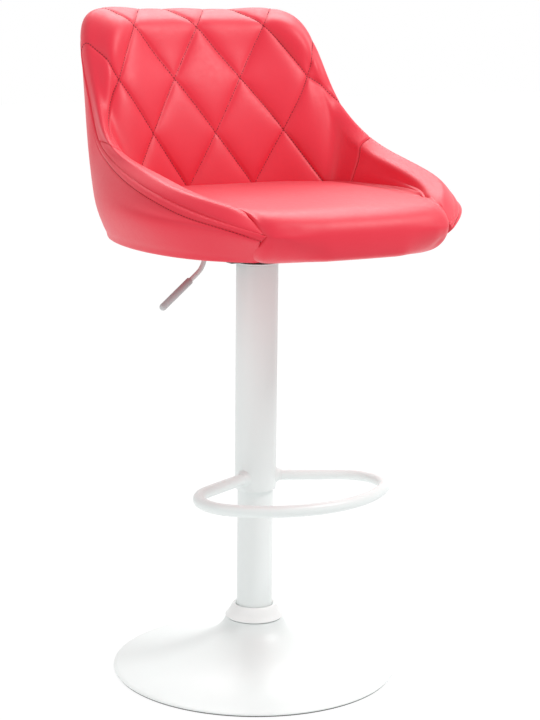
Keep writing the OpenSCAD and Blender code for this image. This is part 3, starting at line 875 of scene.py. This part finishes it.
def shell(front, back):
    """Points and faces of a closed shell between a shown grid and a hidden grid with the same stations."""
    stations, rows = front.shape[:2]
    hidden = back.shape[1]
    first = stations * rows
    points = np.vstack([front.reshape(-1, 3), back.reshape(-1, 3)])
    shown_at = np.arange(first).reshape(stations, rows)
    hidden_at = first + np.arange(stations * hidden).reshape(stations, hidden)
    faces = grid_faces(stations, rows)
    faces += [f[::-1] for f in grid_faces(stations, hidden, first=first)]
    for i in range(stations - 1):
        a, b = shown_at[i], shown_at[i + 1]
        c, d = hidden_at[i], hidden_at[i + 1]
        faces.append((int(a[0]), int(c[0]), int(d[0]), int(b[0])))
        faces.append((int(b[-1]), int(d[-1]), int(c[-1]), int(a[-1])))
    for i in (0, stations - 1):
        faces += [tuple(int(v) for v in f) for f in strip_faces(shown_at[i], hidden_at[i])]
    return points, faces


STITCH_RING = 6
STITCH_PROFILE = [(-1.0, 0.15), (-0.8, 0.75), (-0.3, 1.0), (0.3, 1.0), (0.8, 0.75), (1.0, 0.15)]


def stitch_shape():
    """Points and faces of one stitch: a thin rounded bar along X, one unit each way."""
    points = [
        (x, r * math.cos(t), r * math.sin(t))
        for x, r in STITCH_PROFILE for t in np.linspace(0, 2 * math.pi, STITCH_RING, endpoint=False)
    ]
    rows = len(STITCH_PROFILE)
    faces = grid_faces(rows, STITCH_RING, True)
    last = (rows - 1) * STITCH_RING
    faces += [tuple(range(STITCH_RING))[::-1], tuple(range(last, last + STITCH_RING))]
    return np.array(points), faces


def stitches(name, lines, body, length, gap, radius, lift):
    """A row of stitches along each line. A line is (points, normals) in metres."""
    shape, shape_faces = stitch_shape()
    points, faces = [], []
    for line, normals in lines:
        run = lengths(line)
        if run[-1] < 2 * length:
            continue
        count = int(run[-1] // (length + gap))
        middles = (np.arange(count) + 0.5) * run[-1] / count
        look = 0.4 * length
        centre = at_run(run, line, middles)
        way = at_run(run, line, middles + look) - at_run(run, line, middles - look)
        way /= np.linalg.norm(way, axis=1)[:, None]
        out = at_run(run, normals, middles)
        out -= way * np.sum(out * way, axis=1)[:, None]
        out /= np.linalg.norm(out, axis=1)[:, None]
        side = np.cross(out, way)
        for c, w, o, b in zip(centre, way, out, side):
            first = len(points) * len(shape)
            bar = c + lift * o + np.outer(shape[:, 0] * length / 2, w)
            bar += np.outer(shape[:, 1] * radius, b) + np.outer(shape[:, 2] * radius * 0.8, o)
            points.append(bar)
            faces += [tuple(first + i for i in f) for f in shape_faces]
    outward(new_piece(name, np.vstack(points), faces, "red_thread", body))


# ---------- quilted back ----------

DIAMOND_HALF_WIDTH = 50.5
DIAMOND_HALF_HEIGHT = 75.7
DIAMOND_SIDE = math.hypot(DIAMOND_HALF_WIDTH, DIAMOND_HALF_HEIGHT)
LINE_GAP = 2 * DIAMOND_HALF_WIDTH * DIAMOND_HALF_HEIGHT / DIAMOND_SIDE
# Past this many half widths from the middle, one family of lines spreads out by a share on each side
STRETCH_FROM = 3.0
LEFT_STRETCH = 0.30
RIGHT_STRETCH = 0.75
FALLING_LINES = (-1, 2)
RISING_LINES = (-3, 0)
BACK_LENGTH = 300.0
# The quilted face: how far its diamonds stand out and how they fade towards the seams and over the crest
PUFF = 4.5
PUFF_REACH = 9.5
PUFF_POWER = 1.15
FACE_FADE = 0.25
TUCK_FADE = 14.0
SIDE_PUFF = 0.06
SIDE_FADE = 170.0
SIDE_SEAM_FADE = 5.0
CREST_PUFF = 0.09
CREST_PUFF_FROM = 110.0
CREST_PUFF_FADE = 60.0
GROOVE = 1.5
GROOVE_HALF = 1.7
CREST_GROOVE = 0.4


def quilt_fields(grid, heights):
    """The two families of quilting lines: each field is a whole number on its lines."""
    steps = np.linalg.norm(np.diff(grid[:, :, :2], axis=0), axis=2)
    run = np.vstack([np.zeros(grid.shape[1]), np.cumsum(steps, axis=0)])
    middle = grid.shape[0] // 2
    across = (run - run[middle]) / DIAMOND_HALF_WIDTH
    right = RIGHT_STRETCH * np.maximum(across - STRETCH_FROM, 0)
    left = LEFT_STRETCH * np.maximum(-across - STRETCH_FROM, 0)
    up = heights / DIAMOND_HALF_HEIGHT
    return (across - right + up - 1) / 2, (across + left - up - 1) / 2, up


def line_distance(field, lines):
    """Distance across the face from the nearest line of a family, in millimetres."""
    return np.abs(field - np.clip(np.round(field), *lines)) * LINE_GAP


def line_crossings(field, value, up, *grids):
    """Where a field passes a value between grid points, in order of height, as values of each grid."""
    found = []
    for axis in (0, 1):
        a = field[:-1, :] if axis == 0 else field[:, :-1]
        b = field[1:, :] if axis == 0 else field[:, 1:]
        for i, j in np.argwhere((a - value) * (b - value) < 0):
            share = (value - a[i, j]) / (b[i, j] - a[i, j])
            other = (i + 1, j) if axis == 0 else (i, j + 1)
            row = [up[i, j] + share * (up[other] - up[i, j])]
            for g in grids:
                row.extend(g[i, j] + share * (g[other] - g[i, j]))
            found.append(row)
    found = np.array(sorted(found))
    if len(found) < 4:
        return None
    return [found[:, 1 + 3 * k:4 + 3 * k] for k in range(len(grids))]


def quilt_swell(first, second, share, edge):
    """How far the quilted face stands out, from its distances to the lines and to its edges."""
    rise = 1 - np.exp(-((first / PUFF_REACH) ** PUFF_POWER))
    rise = rise * (1 - np.exp(-((second / PUFF_REACH) ** PUFF_POWER)))
    groove = np.exp(-((first / GROOVE_HALF) ** 2)) + np.exp(-((second / GROOVE_HALF) ** 2))
    face = smooth((share - ROLL_SHARE) / FACE_FADE)
    from_side = SIDE_PUFF + (1 - SIDE_PUFF) * smooth(edge / SIDE_FADE)
    from_side *= 1 - np.exp(-edge / SIDE_SEAM_FADE)
    crest = CREST_PUFF * smooth((edge - CREST_PUFF_FROM) / CREST_PUFF_FADE)[:, None]
    puffs = rise * (crest + (1 - crest) * face) - 0.5 * crest * (1 - face)
    grooves = groove * (CREST_GROOVE + (1 - CREST_GROOVE) * face)
    return PUFF * puffs * from_side[:, None] - GROOVE * grooves


def make_back_pad():
    s, run, total = spaced_stations(-ARM_STATION + SEAM_GAP, ARM_STATION - SEAM_GAP, 2.6)
    rows = rows_for(BACK_LENGTH, 2.5)
    wide = s * (1 + SEAM_SLANT / ARM_STATION)
    grid, heights = pad_grid(wide, rows, np.linspace(0.15, 1, 7))
    share = rows_share(rows, grid.shape[1])
    places = s[:, None] * (1 + slant_of(share) / ARM_STATION)
    heights = read_at(heights[:, :, None], wide, places)[:, :, 0]
    grid = read_at(grid, wide, places)
    middle = (len(s) // 2, len(rows) // 2)
    normals = normals_of(grid, middle, FORWARD)
    falling, rising, up = quilt_fields(grid, heights)
    first, second = line_distance(falling, FALLING_LINES), line_distance(rising, RISING_LINES)
    from_tuck = smooth(share * BACK_LENGTH / TUCK_FADE)
    edge = np.minimum(run, total - run)
    grid = grid + normals * (quilt_swell(first, second, share, edge) * from_tuck)[:, :, None]
    swollen_normals = normals_of(grid, middle, FORWARD)
    lines = []
    for field, (low, high) in ((falling, FALLING_LINES), (rising, RISING_LINES)):
        for value in range(low, high + 1):
            found = line_crossings(field, value, up, grid, swollen_normals)
            if found is not None:
                lines.append((found[0] * MM, found[1]))
    grid = rolled_edges(grid, normals, edge, from_tuck)
    points, faces = shell(grid, hidden_wall(s, PAD_DEPTH, np.linspace(2.8, 0.8, 12)))
    pad = seat_piece("quilted_back", points, faces, "back_pad")
    stitches("quilt_stitches", lines, "seat", 0.0030, 0.0012, 0.00065, 0.0002)


# ---------- arms ----------

ARM_LENGTH = 110.0
ARM_SWELL = 2.5
ARM_END_FADE = 40.0
ARM_TUCK_FADE = 10.0


def make_arm_pad(name, side):
    s, run, total = spaced_stations(ARM_STATION + SEAM_GAP, STATIONS + END_REACH, 2.6)
    rows = rows_for(ARM_LENGTH, 2.2)
    grid, _ = pad_grid(s, rows, np.linspace(0.15, 1, 5))
    share = rows_share(rows, grid.shape[1])
    ahead = (s[-1] - s) / (s[-1] - s[0])
    grid = read_at(grid, s, s[:, None] + ahead[:, None] * slant_of(share))
    normals = normals_of(grid, (len(s) // 2, len(rows) // 2), INWARD)
    edge = np.minimum(run, total - run)
    inner = np.clip((share - 0.5) / 0.5, 0, 1)
    swell = ARM_SWELL * np.sin(np.pi * inner) * smooth(edge / ARM_END_FADE)[:, None]
    grid = grid + normals * swell[:, :, None]
    grid = rolled_edges(grid, normals, edge, smooth(share * ARM_LENGTH / ARM_TUCK_FADE))
    points, faces = shell(grid, hidden_wall(s, PAD_DEPTH, np.linspace(2.8, 0.8, 8)))
    node = "arm_pad_left" if side > 0 else "arm_pad_right"
    pad = seat_piece(name, points * (side, 1, 1), faces, node)


# ---------- outer panel ----------

# Down from the seam: a tucked edge, a padded band and its topstitching, then rows that share the rest
TOPSTITCH_DROP = 9.5
TUCKED_IN = 4.0
BAND_SWELL = 1.8
STITCH_DIP = 1.3
NEAR_ROWS = np.concatenate([np.arange(0, 14, 0.8), np.arange(14, 24, 1.6)])
FAR_FROM = 24.5
FAR_ROWS = 64
FAR_DOWN = 60.0
PANEL_DEPTH = 0.13
END_SINK = 0.6
# The fold of leather inside the seam
FOLD_R = 1.1
FOLD_SINK = 1.6
FOLD_LIFT = 0.2


def panel_grid(s):
    """The panel's shown surface: for each station, rows of points from the seam to under the seat."""
    t = np.concatenate([np.linspace(3.0, 2.85, 4), np.linspace(2.7, 0.45, 13), np.linspace(0.25, 0, 3)])
    outer = outer_wall(s, t)
    tuck = hidden_wall(s, 0.11, 2.9)[:, 0]
    wrap = np.stack([hidden_wall(s, depth, 0.0)[:, 0] for depth in (0.09, 0.3)])
    wrap[:, :, 2] = UNDERSIDE - np.array([[0.6], [0.9]])
    grid = []
    for line in np.moveaxis(np.concatenate([[tuck], outer, wrap]), 0, 1):
        chords = lengths(line)
        fine = spline(chords, line, np.linspace(0, chords[-1], 240))
        run = lengths(fine)
        down = np.concatenate([NEAR_ROWS, np.linspace(FAR_FROM, run[-1], FAR_ROWS)])
        grid.append(at_run(run, fine, down))
    return np.array(grid)


def make_outer_panel():
    s, run, total = spaced_stations(-STATIONS - END_REACH, STATIONS + END_REACH, 3.2)
    grid = panel_grid(s)
    down = np.concatenate([NEAR_ROWS, np.full(FAR_ROWS, FAR_DOWN)]) - TUCKED_IN
    normals = normals_of(grid, (len(s) // 2, len(down) // 2), BACKWARD)
    band = BAND_SWELL * np.clip(np.sin(np.pi * np.clip(down / TOPSTITCH_DROP, 0, 1)), 0, 1)
    dip = STITCH_DIP * np.exp(-(((down - TOPSTITCH_DROP) / STITCH_DIP) ** 2))
    grid = grid + normals * (band - dip)[None, :, None]
    stitch_row = int(np.argmin(np.abs(down - TOPSTITCH_DROP)))
    inside = slice(6, -6)
    line = (grid[inside, stitch_row] * MM, normals[inside, stitch_row])
    edge = np.minimum(run, total - run)
    grid = rolled_edges(grid, normals, edge, np.full(grid.shape[1], END_SINK))
    points, faces = shell(grid, hidden_wall(s, PANEL_DEPTH, np.linspace(2.8, 0.12, 12)))
    panel = seat_piece("outer_panel", points, faces, "outer_cover")
    stitches("panel_topstitch", [line], "seat", 0.0032, 0.0013, 0.00045, 0.0002)

    seam = rail("seam", s[inside])
    out = seam - rail("inner_top", s[inside])
    out /= np.linalg.norm(out, axis=1)[:, None]
    centre = seam - FOLD_SINK * out + (0, 0, FOLD_LIFT)
    heading = np.gradient(centre, axis=0)
    heading /= np.linalg.norm(heading, axis=1)[:, None]
    up = np.cross(heading, out)
    points, faces = ring_skin([round_ring(c, FOLD_R, o, u, 10) for c, o, u in zip(centre, out, up)])
    seat_piece("seam_fold", points, faces, "edge_piping")


# ---------- seat cushion ----------

# The cushion's top edge along the pads: station and height
SIDE_EDGE = [(0, 648), (3, 651), (4.5, 654.5), (5.6, 657.5), (6.8, 658)]
# Its top edge round its free front: x, y, height, roundness and share of a corner
FRONT_EDGE = [
    (150, -176, 657.5, 0.0, 0.0), (142, -193, 656.0, 0.0, 0.0), (136, -206, 652.5, 0.0, 0.0),
    (134.5, -219, 649.8, 0.0, 0.1), (134, -231, 643.0, 0.05, 0.1), (131.8, -243, 634.5, 0.1, 0.35),
    (124, -253, 632.0, 0.4, 0.8), (104, -261, 633.5, 0.8, 0.8), (54, -267, 636.0, 1.0, 0.0),
    (0, -268.5, 636.0, 1.0, 0.0),
]
CUSHION_MIDDLE = np.array([0.0, -60.0])
CROWN = 657.0
CUSHION_DOME = 0.8
CUSHION_POINTS = 420
CUSHION_RINGS = 96
# From the crown to the top edge: inset beside the pads, inset at the front, share of the rise
CUSHION_TOP = [(56, 70, 1.0), (34, 46, 0.95), (16, 28, 0.79), (5, 12, 0.45), (-1.5, 3.5, 0.0)]
# Below the top edge: inset beside the pads, inset at the front, what a front corner adds, height
CUSHION_SIDE = [
    (-2, 0.5, 0, 626), (-1, 0, 4, 615.5), (3, 1.2, 12, 605.5), (12, 8, 17, 597.8), (26, 32, 8, 593.6),
]
# Soft dents near its front corners: x, y, height, radius and depth
CORNER_DENTS = [(-112, -250, 618, 13, 2.6), (117, -247, 612, 10, 2.2), (-100, -254, 634, 9, 1.2)]


def cushion_outline(count):
    """The cushion's outline, evenly spaced: x, y, top edge's height, roundness and share of a corner."""
    last = SIDE_EDGE[-1][0]
    stations = np.linspace(-last, last, 81)
    edge_height = np.interp(np.abs(stations), *zip(*SIDE_EDGE))
    side = np.column_stack([rail("crease", stations)[:, :2], edge_height, np.zeros((len(stations), 2))])
    front = np.array(FRONT_EDGE, float)
    loop = np.vstack([side, front, front[-2::-1] * (-1, 1, 1, 1, 1), side[:1]])
    run = lengths(loop[:, :2])
    loop = at_run(run, loop, np.linspace(0, run[-1], count, endpoint=False))
    for _ in range(4):
        loop = (np.roll(loop, 1, axis=0) + 2 * loop + np.roll(loop, -1, axis=0)) / 4
    return loop


def make_cushion():
    loop = cushion_outline(CUSHION_POINTS)
    outline = loop[:, :2]
    edge_height, roundness, corner = loop[:, 2:].T
    reach = np.linalg.norm(outline - CUSHION_MIDDLE, axis=1)
    levels = [
        (side + roundness * (front - side), edge_height + share * (CROWN - edge_height))
        for side, front, share in CUSHION_TOP
    ]
    levels += [
        (side + roundness * (front - side) + corner * more, np.full(len(reach), z))
        for side, front, more, z in CUSHION_SIDE
    ]
    levels = np.reshape(levels, (len(levels), -1))
    fine = spline(np.arange(len(levels)), levels, np.linspace(0, len(levels) - 1, CUSHION_RINGS))
    fine = fine.reshape(-1, 2, len(reach))
    first_inset, crown = fine[0]
    rings = []
    for scale in np.linspace(0.03, 1, 26)[:-1]:
        plan = CUSHION_MIDDLE + (outline - CUSHION_MIDDLE) * (scale * (1 - first_inset / reach))[:, None]
        rings.append(np.column_stack([plan, crown + CUSHION_DOME * (1 - scale**2)]))
    for inset, height in fine:
        plan = CUSHION_MIDDLE + (outline - CUSHION_MIDDLE) * (1 - inset / reach)[:, None]
        rings.append(np.column_stack([plan, height]))
    grid = np.array(rings)
    normals = normals_of(grid, (len(grid) // 2, 0), BACKWARD)
    for x, y, z, radius, depth in CORNER_DENTS:
        far = np.linalg.norm(grid - (x, y, z), axis=2)
        grid = grid - normals * (depth * np.exp(-((far / radius) ** 2)))[:, :, None]
    rows, around = grid.shape[:2]
    faces = grid_faces(rows, around, True)
    faces.append(tuple(range(around)))
    faces.append(tuple(range((rows - 1) * around, rows * around))[::-1])
    cushion = seat_piece("seat_pad", grid, faces, "seat_cushion")


# ---------- dust cloth ----------

CLOTH_DROP = 0.1
CLOTH_NOSE = [(88, -214), (45, -221), (0, -224), (-45, -221), (-88, -214)]
CLOTH_MIDDLE = np.array([0.0, -20.0])


def make_dust_cloth():
    """Thin black cloth stapled flat under the seat."""
    sides = hidden_wall(np.linspace(-7.4, 7.4, 60), PAD_DEPTH, np.array([0.0]))[:, 0, :2]
    edge = np.vstack([sides, np.array(CLOTH_NOSE, float)])
    rings = []
    for scale in np.linspace(1, 0.04, 22):
        plan = CLOTH_MIDDLE + (edge - CLOTH_MIDDLE) * scale
        rings.append(np.column_stack([plan, np.full(len(plan), UNDERSIDE - CLOTH_DROP)]))
    rows, around = len(rings), len(edge)
    faces = grid_faces(rows, around, True)
    faces.append(tuple(range((rows - 1) * around, rows * around)))
    cloth = seat_piece("dust_sheet", rings, faces, "bottom_cover", "dust_cloth")


make_camera()
make_studio()
make_floor()
finish_cad_nodes()
make_base()
make_sleeve()
make_footrest()
make_lever()
make_back_pad()
make_arm_pad("arm_left", 1)
make_arm_pad("arm_right", -1)
make_outer_panel()
make_cushion()
make_dust_cloth()
